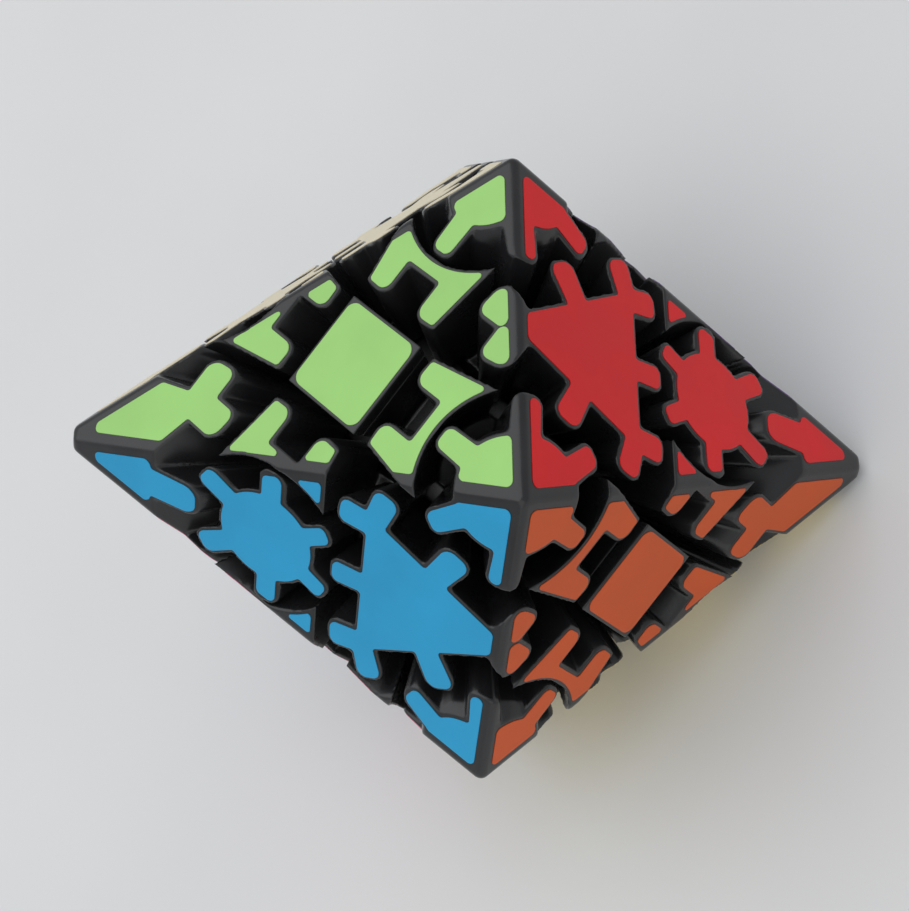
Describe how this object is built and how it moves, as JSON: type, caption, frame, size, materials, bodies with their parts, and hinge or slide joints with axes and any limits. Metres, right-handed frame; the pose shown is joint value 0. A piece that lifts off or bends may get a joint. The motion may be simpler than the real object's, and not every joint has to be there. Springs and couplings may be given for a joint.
{
  "type": "gear twisty puzzle",
  "caption": "Hexagonal dipyramid twisty puzzle: three geared layers, each face turn drives the bevel gears of the middle slice at half speed; coloured stickers on twelve faces.",
  "frame": {"origin": "middle of the core, which is the middle of the bounding box", "axes": "+Z through the middle of the top layer, +X and +Y through two more centres; it rests on the face at -Z"},
  "size_m": [0.056, 0.056, 0.056],
  "materials": {
    "body_plastic": "injection-moulded black ABS, semi-gloss, slightly scuffed",
    "gear_plastic": "injection-moulded black ABS, semi-gloss",
    "cap_plastic": "injection-moulded black ABS, semi-gloss",
    "core_plastic": "moulded nylon, natural, satin",
    "steel": "turned steel, bright",
    "spring_steel": "drawn spring wire",
    "sticker_green": "green self-adhesive vinyl sheet, semi-gloss, faintly dimpled",
    "sticker_red": "red self-adhesive vinyl sheet, semi-gloss, faintly dimpled",
    "sticker_blue": "blue self-adhesive vinyl sheet, semi-gloss, faintly dimpled",
    "sticker_orange": "orange self-adhesive vinyl sheet, semi-gloss, faintly dimpled",
    "sticker_yellow": "yellow self-adhesive vinyl sheet, semi-gloss, faintly dimpled",
    "sticker_cream": "cream self-adhesive vinyl sheet, semi-gloss, faintly dimpled",
    "sticker_white": "white self-adhesive vinyl sheet, semi-gloss, faintly dimpled",
    "sticker_purple": "purple self-adhesive vinyl sheet, semi-gloss, faintly dimpled",
    "sticker_pink": "pink self-adhesive vinyl sheet, semi-gloss, faintly dimpled",
    "sticker_teal": "teal self-adhesive vinyl sheet, semi-gloss, faintly dimpled",
    "sticker_navy": "navy self-adhesive vinyl sheet, semi-gloss, faintly dimpled",
    "sticker_grey": "grey self-adhesive vinyl sheet, semi-gloss, faintly dimpled"
  },
  "bodies": {
    "bottom_layer": {"center_base_bottom": "body_plastic", "center_cap_bottom": "cap_plastic", "corner_bottom_back_left": "body_plastic", "corner_bottom_back_right": "body_plastic", "corner_bottom_front_left": "body_plastic", "corner_bottom_front_right": "body_plastic", "edge_base_bottom_back": "body_plastic", "edge_base_bottom_front": "body_plastic", "edge_base_bottom_left": "body_plastic", "edge_base_bottom_right": "body_plastic", "gear_bottom_back": "gear_plastic", "gear_bottom_front": "gear_plastic", "gear_bottom_left": "gear_plastic", "gear_bottom_right": "gear_plastic", "gear_pins_bottom": "steel"},
    "middle_slice": {"center_base_back": "body_plastic", "center_base_front": "body_plastic", "center_base_left": "body_plastic", "center_base_right": "body_plastic", "center_cap_back": "cap_plastic", "center_cap_front": "cap_plastic", "center_cap_left": "cap_plastic", "center_cap_right": "cap_plastic", "center_screws": "steel", "center_springs": "spring_steel", "center_washers": "steel", "core": "core_plastic", "edge_base_back_left": "body_plastic", "edge_base_back_right": "body_plastic", "edge_base_front_left": "body_plastic", "edge_base_front_right": "body_plastic", "gear_pins_middle": "steel"},
    "top_layer": {"center_base_top": "body_plastic", "center_cap_top": "cap_plastic", "corner_top_back_left": "body_plastic", "corner_top_back_right": "body_plastic", "corner_top_front_left": "body_plastic", "corner_top_front_right": "body_plastic", "edge_base_top_back": "body_plastic", "edge_base_top_front": "body_plastic", "edge_base_top_left": "body_plastic", "edge_base_top_right": "body_plastic", "gear_pins_top": "steel", "gear_top_back": "gear_plastic", "gear_top_front": "gear_plastic", "gear_top_left": "gear_plastic", "gear_top_right": "gear_plastic"},
    "spinning_gear_back_left": {"gear_back_left": "gear_plastic"},
    "spinning_gear_back_right": {"gear_back_right": "gear_plastic"},
    "spinning_gear_front_left": {"gear_front_left": "gear_plastic"},
    "spinning_gear_front_right": {"gear_front_right": "gear_plastic"}
  },
  "joints": [
    {"name": "top_turn", "type": "hinge", "parent": "bottom_layer", "child": "top_layer", "pos_m": [0, 0, 0], "axis": [0, 0, 1], "continuous": true},
    {"name": "middle_turn", "type": "hinge", "parent": "bottom_layer", "child": "middle_slice", "pos_m": [0, 0, 0], "axis": [0, 0, 1], "continuous": true},
    {"name": "spin_gear_back_left", "type": "hinge", "parent": "middle_slice", "child": "spinning_gear_back_left", "pos_m": [0, 0, 0], "axis": [-0.7071, 0.7071, 0], "continuous": true},
    {"name": "spin_gear_back_right", "type": "hinge", "parent": "middle_slice", "child": "spinning_gear_back_right", "pos_m": [0, 0, 0], "axis": [0.7071, 0.7071, 0], "continuous": true},
    {"name": "spin_gear_front_left", "type": "hinge", "parent": "middle_slice", "child": "spinning_gear_front_left", "pos_m": [0, 0, 0], "axis": [-0.7071, -0.7071, 0], "continuous": true},
    {"name": "spin_gear_front_right", "type": "hinge", "parent": "middle_slice", "child": "spinning_gear_front_right", "pos_m": [0, 0, 0], "axis": [0.7071, -0.7071, 0], "continuous": true}
  ],
  "couplings": [
    {"joint": "middle_turn", "follows": "top_turn", "ratio": 0.5},
    {"joint": "spin_gear_back_left", "follows": "top_turn", "ratio": -1.6667},
    {"joint": "spin_gear_back_right", "follows": "top_turn", "ratio": -1.6667},
    {"joint": "spin_gear_front_left", "follows": "top_turn", "ratio": -1.6667},
    {"joint": "spin_gear_front_right", "follows": "top_turn", "ratio": -1.6667}
  ]
}
